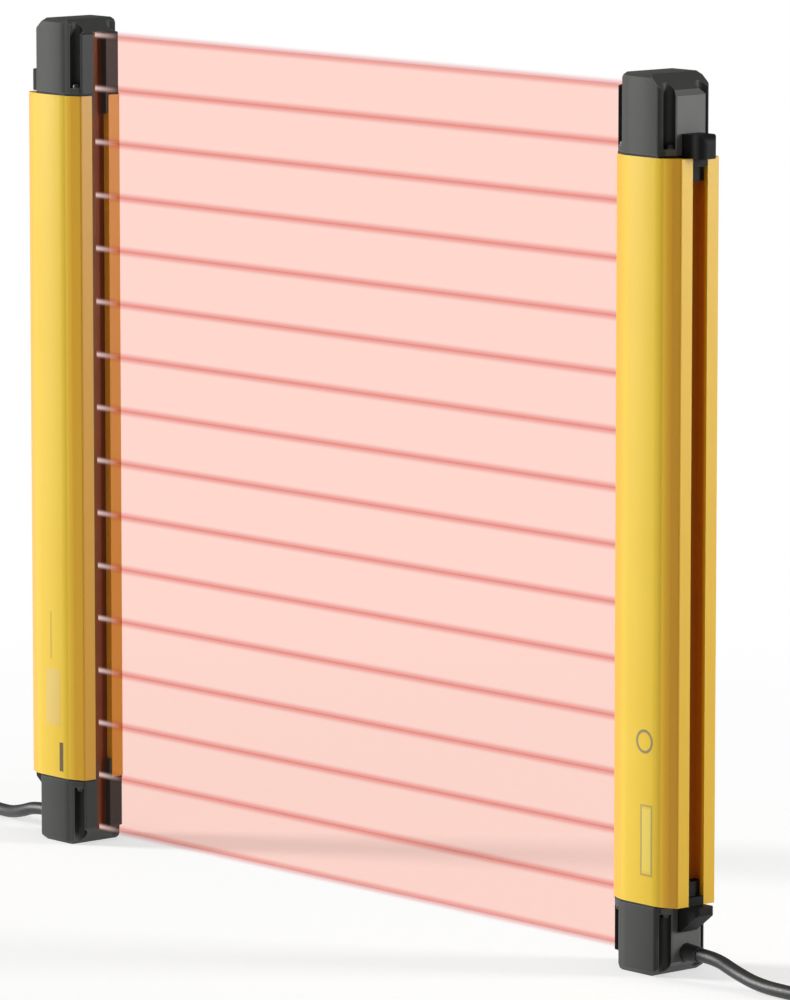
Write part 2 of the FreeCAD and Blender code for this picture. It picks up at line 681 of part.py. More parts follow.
def make_coupling_nut():
    """The fluted nut that turns on the plug's neck."""
    start = PLUG_BODY_LENGTH + CLEARANCE
    points = []
    for step in range(2 * NUT_FLUTES):
        radius = NUT_RADIUS - (step % 2) * NUT_FLUTE_DEPTH
        angle = math.pi * step / NUT_FLUTES - math.pi / 2
        points.append(FreeCAD.Vector(start, radius * math.cos(angle), radius * math.sin(angle)))
    nut = Part.Face(Part.makePolygon(points + points[:1])).extrude(X_AXIS * NUT_LENGTH)
    collar = cylinder(PLUG_NECK_RADIUS + CLEARANCE, NUT_LENGTH, (start, 0, 0), X_AXIS)
    thread_length = NUT_LENGTH - NUT_COLLAR_LENGTH
    thread = cylinder(NUT_THREAD_RADIUS, thread_length, (start + NUT_COLLAR_LENGTH, 0, 0), X_AXIS)
    return nut.cut([collar, thread])


def make_contact_insert():
    """The insulating insert on the neck's end, with its key slot."""
    start = PLUG_BODY_LENGTH + PLUG_NECK_LENGTH
    insert = cylinder(INSERT_RADIUS, INSERT_LENGTH, (start, 0, 0), X_AXIS)
    key = block((start, start + INSERT_LENGTH), KEY_WIDTH, INSERT_RADIUS - KEY_WIDTH / 2, KEY_WIDTH)
    return insert.cut(key)


def make_contact_pins():
    start = PLUG_BODY_LENGTH + PLUG_NECK_LENGTH + INSERT_LENGTH
    pin = cylinder(PIN_RADIUS, PIN_LENGTH, (start, 0, 0), X_AXIS)
    pins = [pin]
    for number in range(PIN_COUNT):
        angle = 2 * math.pi * (number + 0.5) / PIN_COUNT
        across = PIN_CIRCLE_RADIUS * math.cos(angle)
        pins.append(pin.translated(FreeCAD.Vector(0, across, PIN_CIRCLE_RADIUS * math.sin(angle))))
    return Part.makeCompound(pins)


def make_plug(side):
    """The plug's pieces on the end of a lead, in the row's frame."""
    points = lead_points(side)
    way = points[-1] - points[-2]
    turn = math.degrees(math.atan2(way.y, way.x))
    pieces = {
        "plug_body": make_plug_body(),
        "coupling_nut": make_coupling_nut(),
        "contact_insert": make_contact_insert(),
        "contact_pins": make_contact_pins(),
    }
    return {name: piece.rotated(ORIGIN, Z_AXIS, turn).translated(points[-1])
            for name, piece in pieces.items()}


def make_post():
    """One post's pieces in its own frame, apart from its diodes' name and its lead."""
    gasket = make_gasket()
    return {
        "housing": make_housing(),
        "window": make_window(),
        "window_seals": make_window_seals(),
        "top_cap": make_top_cap(),
        "bottom_cap": make_bottom_cap(),
        "top_gasket": gasket.translated(Z_AXIS * HOUSING_TOP),
        "bottom_gasket": gasket.translated(Z_AXIS * BOTTOM_CAP_LENGTH),
        "cap_screws": make_cap_screws(),
        "top_slot_plug": make_top_slot_plug(),
        "bottom_slot_plug": make_bottom_slot_plug(),
        "circuit_board": make_circuit_board(),
        "optics_holder": make_optics_holder(),
        "lens_strip": make_lens_strip(),
        "diodes": make_diodes(),
        "board_chips": make_board_chips(),
        "indicator_lamps": make_indicator_lamps(),
        "board_socket": make_board_socket(),
        "inner_lead": make_inner_lead(),
        "strain_relief": make_strain_relief(),
    }


def placed(shape, side):
    """A post's piece in the row's frame: the transmitter's front faces +X, the receiver's faces -X."""
    shape = shape.translated(X_AXIS * -(WINDOW_SPACING / 2 + WINDOW_FRONT))
    return shape.rotated(ORIGIN, Z_AXIS, 180) if side == "receiver" else shape


def main():
    os.makedirs("parts", exist_ok=True)
    post = make_post()
    diode_names = {"transmitter": "emitters", "receiver": "photodiodes"}
    for side, diode_name in diode_names.items():
        pieces = {name: placed(shape, side) for name, shape in post.items()}
        pieces[diode_name] = pieces.pop("diodes")
        pieces["cable"] = make_cable(side)
        pieces.update(make_plug(side))
        for name, shape in pieces.items():
            shape.exportStep(f"parts/{side}_{name}.step")


main()
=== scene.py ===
import json
import math

import bmesh
import bpy
from mathutils import Matrix, Vector


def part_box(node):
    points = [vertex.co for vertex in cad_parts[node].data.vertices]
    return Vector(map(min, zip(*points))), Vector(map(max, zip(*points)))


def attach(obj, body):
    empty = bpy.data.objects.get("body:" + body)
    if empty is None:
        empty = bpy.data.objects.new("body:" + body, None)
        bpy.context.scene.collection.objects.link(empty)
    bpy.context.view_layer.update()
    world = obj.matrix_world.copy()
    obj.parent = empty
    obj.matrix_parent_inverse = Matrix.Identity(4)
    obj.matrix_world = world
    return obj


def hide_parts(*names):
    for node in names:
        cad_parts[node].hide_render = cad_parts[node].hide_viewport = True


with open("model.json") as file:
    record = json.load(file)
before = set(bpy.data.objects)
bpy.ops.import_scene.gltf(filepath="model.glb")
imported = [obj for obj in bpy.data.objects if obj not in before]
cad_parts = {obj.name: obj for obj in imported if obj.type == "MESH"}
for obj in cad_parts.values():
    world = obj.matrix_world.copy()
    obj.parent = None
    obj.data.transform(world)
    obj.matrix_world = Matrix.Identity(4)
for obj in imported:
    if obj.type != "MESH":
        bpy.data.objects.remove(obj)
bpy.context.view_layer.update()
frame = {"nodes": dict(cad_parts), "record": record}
NODES = frame["nodes"]
MM = 0.001

# ---------------------------------------------------------------- sizes and settings
# Lengths are metres. X runs along the light beams and Z up.

# The posts: each one's name, and the way along X that its back looks
SIDES = {"transmitter": -1, "receiver": 1}
housing_low, housing_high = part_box("receiver_housing")
FRONT, BACK = housing_low.x, housing_high.x
NEAR_SIDE = housing_low.y
SIDE_MIDDLE = FRONT + 16.3 * MM
SIDE_HALF = 9.7 * MM
CROWN = 9.0  # how strongly the sides' shading bulges

# Where the zones of painted shade and painted light lie: depths from the front or the back, and how far
# sideways a face looks, from 0 for one across the beams to 1 for one of the flat sides
FRONT_SHADE_DEPTH = 0.8 * MM
FRONT_SHADE_TURN = 0.35
BACK_LIGHT_DEPTH = 7.0 * MM
BACK_LIGHT_TURN = 0.6
FACET_SHADE_BLEND = (0.10, 0.60)
FACET_SHADE_FLOOR = 0.35
FLAT_SIDE_BLEND = (0.90, 0.995)
SLOT_SHADE_DEPTHS = (0.6 * MM, 6.6 * MM)
SLOT_HALF_WIDTH = 5.6 * MM
SLOT_SHADE_STRENGTH = 0.85
SLOT_SHADE_RISE = 900.0  # per metre of depth

# The finishes
NOISE_ROUGHNESS = 0.55
PATCH_SCALE = 28.0
# A painted highlight along the sharp edges: how wide it is, how it blends, and how strong it is
EDGE_HIGHLIGHT_RADIUS = 0.6 * MM
EDGE_HIGHLIGHT_BLEND = (0.86, 0.995)
EDGE_HIGHLIGHT_STRENGTH = 0.6
SPECK_STRENGTH = 0.35
GLOSS_SPREAD = 0.06
GRAIN_STRENGTH = 0.5
CLEAR_IOR = 1.49
CLEAR_PATCH_SCALE = 60.0
CLEAR_SHADE = 0.8
CLEAR_GLOSS_SPREAD = 0.05
RIPPLE_SCALE = 900.0
RIPPLE_STRENGTH = 0.15
RIPPLE_DEPTH = 0.02 * MM

# The cap screws
HEAD_RADIUS, HEAD_HEIGHT = 1.9 * MM, 1.6 * MM
SCREW_LENGTH = 12.0 * MM
SCREW_TIP_RADIUS = 0.35 * MM
SCREW_TIP_LENGTH = 0.8 * MM
THREAD_CREST, THREAD_ROOT, THREAD_PITCH = 1.1 * MM, 0.92 * MM, 0.5 * MM
THREAD_RUN_OUT = 0.8 * MM
SHOULDER = 0.3 * MM
HEAD_PROFILE = [(1.0, 0.0), (1.0, 0.5), (0.93, 0.78), (0.78, 0.94), (0.66, 1.0)]  # shares of the head
CROSS_MOUTH = (0.95 * MM, 0.24 * MM, 1.0)  # arm, half width, share of the head's height
CROSS_FLOOR = (0.55 * MM, 0.16 * MM, 0.45)
SCREW_SIDES = 20
SCREW_SMOOTHING = 35
REAR_SCREW_REACH = 0.1 * MM  # how far along X from a rear screw's middle its side points may lie

# The bare marks on the housings' near sides
MARK_LIFT = 0.03 * MM
MARK_ROUGHNESS = 0.42
MARK_SPECULAR = 0.4
MARK_GRAIN = 2600.0
MARK_RELIEF = 0.01 * MM
RING_SIDES = 48

# The camera
CAMERA_AZIMUTH = math.radians(49.05)
CAMERA_ELEVATION = math.radians(8.12)
CAMERA_DISTANCE = 2.63
CAMERA_TARGET = Vector((0.0207, 0.0, 0.14915))
CAMERA_LENS, CAMERA_SENSOR, CAMERA_REACH = 264.2, 36.0, 50.0

# The leads: their points away from the strain relief's tip, across, and in height
LEAD_RADIUS = 2.4 * MM
LEAD_ROUTES = {
    "transmitter": [
        (0.000, 0.0000, 0.0080),
        (0.008, 0.0000, 0.0080),
        (0.018, 0.0012, 0.0049),
        (0.030, 0.0044, 0.0025),
        (0.046, 0.0072, 0.0025),
        (0.064, 0.0076, 0.0025),
        (0.082, 0.0046, 0.0025),
        (0.099, 0.0006, 0.0046),
        (0.113, -0.0016, 0.0073),
        (0.122, -0.0022, 0.0073),
    ],
    "receiver": [
        (0.000, 0.0000, 0.0080),
        (0.008, 0.0000, 0.0080),
        (0.018, -0.0002, 0.0048),
        (0.030, -0.0012, 0.0025),
        (0.045, -0.0028, 0.0025),
        (0.063, -0.0016, 0.0025),
        (0.081, 0.0024, 0.0025),
        (0.098, 0.0054, 0.0046),
        (0.112, 0.0060, 0.0073),
        (0.121, 0.0054, 0.0073),
    ],
}

# The light between the posts
BEAM_COUNT = 16
DIODE_RADIUS = 1.5 * MM
FIELD_TINT = (0.995, 0.675, 0.608)
# A faint painted glow that lifts the field where it passes over shadows
FIELD_LIFT_GLOW = (0.005, 0.005, 0.005)
FIELD_MARGIN = 0.03  # past the end beams, as a share of the pitch
FIELD_EDGE = 16.0  # how quickly the field fades there
BEAM_TINT = (0.85, 0.50, 0.49)
BEAM_HALF_WIDTH = 2.4 * MM
START_COLOUR = (0.90, 0.66, 0.60)
START_LENGTH = 14.0 * MM
START_SHARPNESS = 4.0
START_STRENGTH = 0.9
CORE_RADIUS = 0.22 * MM
CORE_TINT = (0.98, 0.90, 0.89)
CORE_SIDES = 10

# The floor, the lamps and the world
FLOOR_RADIUS = 8.0
FLOOR_SIDES = 64
FLOOR_GRAIN = 180.0
FLOOR_GREYS = ((0.51, 0.51, 0.51), (0.53, 0.53, 0.53))
FLOOR_ROUGHNESS = 0.9
FLOOR_GLOW = 0.56
FLOOR_FADE = (0.20, 0.65)
LAMP_TARGET = Vector((0, 0, 0.15))
LAMPS = [  # name, azimuth and elevation in degrees, distance, width, height, watts
    ("left_lamp", -53, 17, 9.0, 2.0, 4.4, 930),
    ("right_lamp", 129, 15, 2.2, 0.5, 1.0, 29),
    ("top_lamp", 40, 82, 2.2, 1.6, 1.6, 6),
]
WORLD_LIGHT = 0.18
WHITE = (1, 1, 1, 1)


# ---------------------------------------------------------------- small helpers

def mesh_object(name, build):
    """A new mesh object whose bmesh is filled in by build(bm)."""
    mesh = bpy.data.meshes.new(name)
    bm = bmesh.new()
    build(bm)
    bmesh.ops.recalc_face_normals(bm, faces=bm.faces)
    bm.to_mesh(mesh)
    bm.free()
    obj = bpy.data.objects.new(name, mesh)
    bpy.context.scene.collection.objects.link(obj)
    return obj


def smooth(obj, angle):
    """Smooth shading, apart from edges sharper than the angle."""
    mesh = obj.data
    mesh.shade_smooth()
    mesh.set_sharp_from_angle(angle=math.radians(angle))
    return obj


def paint(obj, material):
    obj.data.materials.clear()
    obj.data.materials.append(material)


def direction(azimuth, elevation):
    """The way towards a viewpoint, from two angles in radians. Azimuth 0 is -Y and a quarter turn is +X."""
    return Vector((
        math.sin(azimuth) * math.cos(elevation),
        -math.cos(azimuth) * math.cos(elevation),
        math.sin(elevation),
    ))


# ---------------------------------------------------------------- node helpers

def node_material(name):
    material = bpy.data.materials.new(name)
    material.use_nodes = True
    tree = material.node_tree
    return material, tree, tree.nodes["Principled BSDF"]


def add(tree, kind, **inputs):
    """A node with the inputs given by their socket names, with spaces written as underscores."""
    node = tree.nodes.new(kind)
    for key, value in inputs.items():
        node.inputs[key.replace("_", " ")].default_value = value
    return node


def feed(tree, socket, value):
    """Set a socket from another socket, or from a number."""
    if isinstance(value, bpy.types.NodeSocket):
        tree.links.new(value, socket)
    else:
        socket.default_value = value


def noise(tree, coords, scale, detail):
    node = add(tree, "ShaderNodeTexNoise", Scale=scale, Detail=detail, Roughness=NOISE_ROUGHNESS)
    tree.links.new(coords, node.inputs["Vector"])
    return node.outputs["Fac"]


def remap(tree, value, low, high, start=0.3, end=0.7):
    node = tree.nodes.new("ShaderNodeMapRange")
    for key, number in (("From Min", start), ("From Max", end), ("To Min", low), ("To Max", high)):
        node.inputs[key].default_value = number
    tree.links.new(value, node.inputs["Value"])
    return node.outputs["Result"]


def mixed(tree, fac, a, b, blend="MIX"):
    """A colour between a and b, each a socket or a colour."""
    node = tree.nodes.new("ShaderNodeMix")
    node.data_type = "RGBA"
    node.blend_type = blend
    for socket, value in ((node.inputs[6], a), (node.inputs[7], b)):
        feed(tree, socket, value if isinstance(value, bpy.types.NodeSocket) else (*value, 1.0))
    feed(tree, node.inputs[0], fac)
    return node.outputs[2]


def sums(tree, operation, a, b=0.0, clamp=False):
    """One arithmetic step between two sockets or numbers."""
    node = tree.nodes.new("ShaderNodeMath")
    node.operation = operation
    node.use_clamp = clamp
    feed(tree, node.inputs[0], a)
    feed(tree, node.inputs[1], b)
    return node.outputs[0]


def product(tree, a, b):
    return sums(tree, "MULTIPLY", a, b)


def place(tree, stretch=(1, 1, 1)):
    """The object's own coordinates, in metres, stretched along each axis."""
    coords = tree.nodes.new("ShaderNodeTexCoord").outputs["Object"]
    node = tree.nodes.new("ShaderNodeMapping")
    node.inputs["Scale"].default_value = stretch
    tree.links.new(coords, node.inputs["Vector"])
    return node.outputs["Vector"]


def split(tree, vector):
    """The three shares of a vector, by axis."""
    node = tree.nodes.new("ShaderNodeSeparateXYZ")
    tree.links.new(vector, node.inputs[0])
    return node.outputs


def part_of(tree, vector, axis):
    """The size of a vector's share along one axis, without its sign."""
    return sums(tree, "ABSOLUTE", split(tree, vector)[axis])


def mixed_shaders(tree, fac, a, b):
    node = tree.nodes.new("ShaderNodeMixShader")
    tree.links.new(fac, node.inputs[0])
    tree.links.new(a.outputs[0], node.inputs[1])
    tree.links.new(b.outputs[0], node.inputs[2])
    return node


def show(tree, shader):
    tree.links.new(shader.outputs[0], tree.nodes["Material Output"].inputs["Surface"])


# ---------------------------------------------------------------- masks and relief

def edge_mask(tree):
    """1 along the solid's sharp edges, 0 on its flats: where the painted highlight along the edges goes."""
    bevel = add(tree, "ShaderNodeBevel", Radius=EDGE_HIGHLIGHT_RADIUS)
    bevel.samples = 4
    geometry = tree.nodes.new("ShaderNodeNewGeometry")
    dot = tree.nodes.new("ShaderNodeVectorMath")
    dot.operation = "DOT_PRODUCT"
    tree.links.new(bevel.outputs["Normal"], dot.inputs[0])
    tree.links.new(geometry.outputs["Normal"], dot.inputs[1])
    return remap(tree, dot.outputs["Value"], 1.0, 0.0, *EDGE_HIGHLIGHT_BLEND)


def sideways(tree):
    """How far a face looks to the side of its post: 1 on the flat sides, 0 across the beams."""
    return part_of(tree, tree.nodes.new("ShaderNodeNewGeometry").outputs["Normal"], "Y")


def painted_facet_shade(tree):
    """1 on each slanting facet: painted shade, deeper in colour than the flat sides."""
    side = sideways(tree)
    off_side = remap(tree, side, 1.0, 0.0, *FLAT_SIDE_BLEND)
    return product(tree, off_side, remap(tree, side, FACET_SHADE_FLOOR, 1.0, *FACET_SHADE_BLEND))


def painted_front_shade(tree):
    """1 on the front faces beside the window: painted shade, deeper in colour than the rest."""
    near = sums(tree, "LESS_THAN", part_of(tree, place(tree), "X"), FRONT + FRONT_SHADE_DEPTH)
    return product(tree, sums(tree, "LESS_THAN", sideways(tree), FRONT_SHADE_TURN), near)


def painted_back_light(tree):
    """1 on the faces that look backwards: painted light, paler than the flat sides."""
    far = sums(tree, "GREATER_THAN", part_of(tree, place(tree), "X"), BACK - BACK_LIGHT_DEPTH)
    return product(tree, sums(tree, "LESS_THAN", sideways(tree), BACK_LIGHT_TURN), far)


def painted_slot_shade(tree):
    """1 inside the back slot: painted shade, darker the deeper it lies."""
    along, across = part_of(tree, place(tree), "X"), part_of(tree, place(tree), "Y")
    mouth, bottom = SLOT_SHADE_DEPTHS
    depth = sums(tree, "SUBTRACT", BACK - mouth, along)
    deep = sums(tree, "MULTIPLY", depth, SLOT_SHADE_RISE, clamp=True)
    within = sums(tree, "GREATER_THAN", along, BACK - bottom)
    narrow = sums(tree, "LESS_THAN", across, SLOT_HALF_WIDTH)
    return product(tree, product(tree, deep, within), product(tree, narrow, SLOT_SHADE_STRENGTH))


def bump(tree, shader, height, strength, distance):
    node = add(tree, "ShaderNodeBump", Strength=strength, Distance=distance)
    tree.links.new(height, node.inputs["Height"])
    tree.links.new(node.outputs["Normal"], shader.inputs["Normal"])
    return node


def crown(tree, relief):
    """The posts' sides bulge very slightly: a broad shading relief under the fine one."""
    off = sums(tree, "SUBTRACT", part_of(tree, place(tree), "X"), SIDE_MIDDLE)
    off = sums(tree, "MAXIMUM", sums(tree, "MINIMUM", off, SIDE_HALF), -SIDE_HALF)
    bump(tree, relief, product(tree, product(tree, off, off), -CROWN), 1.0, 1.0)


# ---------------------------------------------------------------- finishes

def surface(name, colour, dark, rough, grain, relief, metallic=0.0, edge_highlight=None, stretch=(1, 1, 1),
            specular=0.5, crowned=False, zones=()):
    """A finish with broad patches, a fine grain in colour, gloss and relief, and a painted highlight along
    its edges.

    Each zone is a function that makes a mask of painted shade or painted light, and the colour inside it.
    """
    material, tree, shader = node_material(name)
    broad = noise(tree, place(tree), PATCH_SCALE, detail=4.0)
    fine = noise(tree, place(tree, stretch), grain, detail=3.0)
    tint = mixed(tree, remap(tree, broad, 0.0, 1.0), dark, colour)
    tint = mixed(tree, remap(tree, fine, 0.0, SPECK_STRENGTH), tint, dark)
    if edge_highlight:
        # A painted highlight along the sharp edges, in the lighter colour given
        highlight_share = remap(tree, edge_mask(tree), 0.0, EDGE_HIGHLIGHT_STRENGTH, 0.0, 1.0)
        tint = mixed(tree, highlight_share, tint, edge_highlight)
    for mask, inside in zones:
        tint = mixed(tree, mask(tree), tint, inside)
    gloss = remap(tree, fine, rough - GLOSS_SPREAD, rough + GLOSS_SPREAD)
    tree.links.new(tint, shader.inputs["Base Color"])
    tree.links.new(gloss, shader.inputs["Roughness"])
    shader.inputs["Metallic"].default_value = metallic
    shader.inputs["Specular IOR Level"].default_value = specular
    fine_relief = bump(tree, shader, fine, GRAIN_STRENGTH, relief)
    if crowned:
        crown(tree, fine_relief)
    return material


def clear(name, colour, rough, transmission, specular=0.5):
    """A clear or tinted plastic with faint moulding ripples."""
    material, tree, shader = node_material(name)
    broad = noise(tree, place(tree), CLEAR_PATCH_SCALE, detail=2.0)
    dark = tuple(c * CLEAR_SHADE for c in colour)
    tint = mixed(tree, remap(tree, broad, 0.0, 1.0), dark, colour)
    tree.links.new(tint, shader.inputs["Base Color"])
    tree.links.new(remap(tree, broad, rough, rough + CLEAR_GLOSS_SPREAD), shader.inputs["Roughness"])
    shader.inputs["IOR"].default_value = CLEAR_IOR
    shader.inputs["Specular IOR Level"].default_value = specular
    shader.inputs["Transmission Weight"].default_value = transmission
    ripples = noise(tree, place(tree), RIPPLE_SCALE, detail=1.0)
    bump(tree, shader, ripples, RIPPLE_STRENGTH, RIPPLE_DEPTH)
    return material


# In each surface: its name, colour, darker colour, roughness, the grain's scale, and its depth.
# In each clear plastic: its name, colour, roughness, and how much of it lets light through.
# Each lighter colour given for the edges is a painted highlight along them; the zones are painted shade and
# painted light.
FINISHES = {
    "housing": surface(
        "yellow_coat", (0.89, 0.60, 0.020), (0.87, 0.57, 0.014), 0.34, 1500.0, 0.03 * MM,
        edge_highlight=(0.92, 0.66, 0.12), specular=0.6, crowned=True,
        zones=[
            # Painted shade on each slanting facet
            (painted_facet_shade, (0.90, 0.43, 0.003)),
            # Painted shade on the front faces beside the window
            (painted_front_shade, (0.70, 0.33, 0.003)),
            # Painted shade inside the back slot
            (painted_slot_shade, (0.62, 0.17, 0.006)),
        ]),
    "cap": surface(
        "cap_plastic", (0.058, 0.061, 0.055), (0.047, 0.050, 0.045), 0.42, 4200.0, 0.04 * MM,
        edge_highlight=(0.16, 0.16, 0.155), specular=0.24, crowned=True,
        zones=[
            # Painted shade on the cap's front faces beside the window
            (painted_front_shade, (0.036, 0.037, 0.036)),
            # Painted light on the cap's back faces
            (painted_back_light, (0.135, 0.137, 0.132)),
        ]),
    "gasket": surface(
        "gasket_rubber", (0.014, 0.014, 0.014), (0.008, 0.008, 0.008), 0.75, 2500.0, 0.03 * MM),
    "seal": surface(
        "seal_rubber", (0.016, 0.016, 0.016), (0.01, 0.01, 0.01), 0.7, 2500.0, 0.03 * MM),
    "slot_plug": surface(
        "plug_rubber", (0.006, 0.006, 0.006), (0.004, 0.004, 0.004), 0.6, 2600.0, 0.03 * MM,
        edge_highlight=(0.014, 0.014, 0.014), specular=0.2),
    "screw": surface(
        "screw_black", (0.05, 0.05, 0.052), (0.03, 0.03, 0.03), 0.36, 3800.0, 0.01 * MM,
        metallic=0.6, edge_highlight=(0.2, 0.2, 0.2)),
    "board": surface(
        "board_mask", (0.02, 0.13, 0.05), (0.012, 0.08, 0.03), 0.35, 1400.0, 0.02 * MM),
    "optics_holder": surface(
        "holder_plastic", (0.014, 0.014, 0.014), (0.009, 0.009, 0.009), 0.6, 3000.0, 0.03 * MM),
    "lens": clear("lens_plastic", (0.9, 0.9, 0.92), 0.03, 0.9),
    "window": clear("window_tint", (0.30, 0.070, 0.003), 0.12, 0.35, specular=0.1),
    "emitter": clear("emitter_epoxy", (0.8, 0.15, 0.1), 0.08, 0.5),
    "photodiode": clear("photodiode_epoxy", (0.05, 0.03, 0.05), 0.08, 0.2),
    "chip": surface(
        "chip_epoxy", (0.025, 0.025, 0.027), (0.015, 0.015, 0.016), 0.55, 4000.0, 0.02 * MM),
    "lamp": clear("lamp_lens", (0.7, 0.72, 0.6), 0.2, 0.3),
    "socket": surface(
        "socket_nylon", (0.7, 0.67, 0.56), (0.6, 0.57, 0.46), 0.5, 2500.0, 0.02 * MM),
    "inner_lead": surface(
        "lead_wires", (0.1, 0.1, 0.1), (0.05, 0.05, 0.05), 0.5, 2500.0, 0.03 * MM,
        stretch=(0.1, 1, 1)),
    "strain_relief": surface(
        "relief_rubber", (0.022, 0.022, 0.022), (0.014, 0.014, 0.014), 0.62, 2600.0, 0.03 * MM),
    "cable": surface(
        "cable_pvc", (0.030, 0.030, 0.032), (0.020, 0.020, 0.021), 0.45, 1800.0, 0.02 * MM),
    "plug_body": surface(
        "plug_moulding", (0.024, 0.024, 0.025), (0.015, 0.015, 0.016), 0.55, 3200.0, 0.04 * MM),
    "coupling_nut": surface(
        "nut_nickel", (0.72, 0.69, 0.63), (0.55, 0.52, 0.46), 0.24, 2600.0, 0.01 * MM,
        metallic=1.0, edge_highlight=(0.85, 0.83, 0.78)),
    "contact_insert": surface(
        "insert_nylon", (0.02, 0.02, 0.02), (0.012, 0.012, 0.012), 0.5, 3000.0, 0.02 * MM),
    "contact_pin": surface(
        "pin_gold", (0.9, 0.66, 0.28), (0.75, 0.52, 0.2), 0.22, 3000.0, 0.01 * MM,
        metallic=1.0),
}

for part in frame["record"]["subparts"]:
    node = NODES[part["node"]]
    for index in range(max(1, len(node.material_slots))):
        if node.material_slots:
            node.material_slots[index].material = FINISHES[part["material_slot"]]
        else:
            node.data.materials.append(FINISHES[part["material_slot"]])


# ---------------------------------------------------------------- cap screws

def ring(bm, place_at, radius, sides):
    """A ring of points, each put in place by place_at(across, along)."""
    turns = (2 * math.pi * n / sides for n in range(sides))
    return [bm.verts.new(place_at(radius * math.cos(a), radius * math.sin(a))) for a in turns]


def ring_faces(bm, lower, upper):
    for n in range(len(lower)):
        m = (n + 1) % len(lower)
        bm.faces.new([lower[n], lower[m], upper[m], upper[n]])


def ring_edges(bm, points):
    return [bm.edges.get((points[n], points[(n + 1) % len(points)])) for n in range(len(points))]


def screw_profile():
    """(radius, height) from the tip up to the rim of the head's flat top."""
    height = -SCREW_LENGTH + SCREW_TIP_LENGTH
    points = [(SCREW_TIP_RADIUS, -SCREW_LENGTH), (THREAD_ROOT, height)]
    while height + THREAD_PITCH < -THREAD_RUN_OUT:
        points.append((THREAD_CREST, height + THREAD_PITCH / 2))
        points.append((THREAD_ROOT, height + THREAD_PITCH))
        height += THREAD_PITCH
    points += [(THREAD_ROOT, -SHOULDER), (THREAD_CREST, 0.0)]
    return points + [(share * HEAD_RADIUS, up * HEAD_HEIGHT) for share, up in HEAD_PROFILE]


def cross(bm, turn, arm, half, up):
    """The outline of a cross recess at a share of the head's height."""
    corners = [(arm, -half), (arm, half), (half, half), (half, arm), (-half, arm), (-half, half),
               (-arm, half), (-arm, -half), (-half, -half), (-half, -arm), (half, -arm), (half, -half)]
    return [bm.verts.new(turn @ Vector((x, y, up * HEAD_HEIGHT))) for x, y in corners]


def add_screw(bm, foot, upright):
    """A pan-head screw with a thread and a cross recess; its seat is at foot, its head up or down."""
    turn = Matrix.Translation(foot)
    if not upright:
        turn = turn @ Matrix.Rotation(math.pi, 4, "X")
    rings = [
        ring(bm, lambda x, y, height=height: turn @ Vector((x, y, height)), radius, SCREW_SIDES)
        for radius, height in screw_profile()
    ]
    bm.faces.new(rings[0])
    for lower, upper in zip(rings, rings[1:]):
        ring_faces(bm, lower, upper)
    mouth = cross(bm, turn, *CROSS_MOUTH)
    bottom = cross(bm, turn, *CROSS_FLOOR)
    ring_faces(bm, mouth, bottom)
    bm.faces.new(bottom)
    edges = ring_edges(bm, rings[-1]) + ring_edges(bm, mouth)
    bmesh.ops.triangle_fill(bm, use_beauty=True, use_dissolve=False, edges=edges)


def screw_feet(side):
    """Where each screw of a post sits: its place, and whether its head points up."""
    low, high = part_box(f"{side}_cap_screws")
    nearest, farthest = sorted((abs(low.x), abs(high.x)))
    front_x, rear_x = nearest + HEAD_RADIUS, farthest - HEAD_RADIUS
    rear_y = max(v.co.y for v in NODES[f"{side}_cap_screws"].data.vertices
                 if abs(abs(v.co.x) - rear_x) < REAR_SCREW_REACH) - HEAD_RADIUS
    for x, y in ((front_x, high.y - HEAD_RADIUS), (rear_x, rear_y)):
        for way in (1, -1):
            yield Vector((SIDES[side] * x, way * y, high.z - HEAD_HEIGHT)), True
            yield Vector((SIDES[side] * x, way * y, low.z + HEAD_HEIGHT)), False


for side in SIDES:
    def build_screws(bm, side=side):
        for foot, upright in screw_feet(side):
            add_screw(bm, foot, upright)

    screws = smooth(mesh_object(f"{side}_screws", build_screws), SCREW_SMOOTHING)
    paint(screws, FINISHES["screw"])
    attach(screws, "root")
    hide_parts(f"{side}_cap_screws")


# ---------------------------------------------------------------- bare marks on the housings

def add_plate(bm, x, z, width, height):
    """A thin sheet on the near side of a housing, around (x, z)."""
    middle = Matrix.Translation((x, NEAR_SIDE - MARK_LIFT / 2, z))
    size = Matrix.Diagonal((width, MARK_LIFT, height, 1.0))
    bmesh.ops.create_cube(bm, size=1.0, matrix=middle @ size)


def add_ring(bm, x, z, outer, inner):
    loops = [
        ring(bm, lambda across, up, lift=lift: (x + across, NEAR_SIDE - lift, z + up), radius, RING_SIDES)
        for radius, lift in ((outer, 0.0), (outer, MARK_LIFT), (inner, MARK_LIFT), (inner, 0.0))
    ]
    for lower, upper in zip(loops, loops[1:]):
        ring_faces(bm, lower, upper)


def add_frame(bm, x, z, width, height, line):
    for way in (1, -1):
        add_plate(bm, x + way * (width - line) / 2, z, line, height)
        add_plate(bm, x, z + way * (height - line) / 2, width - 2 * line, line)


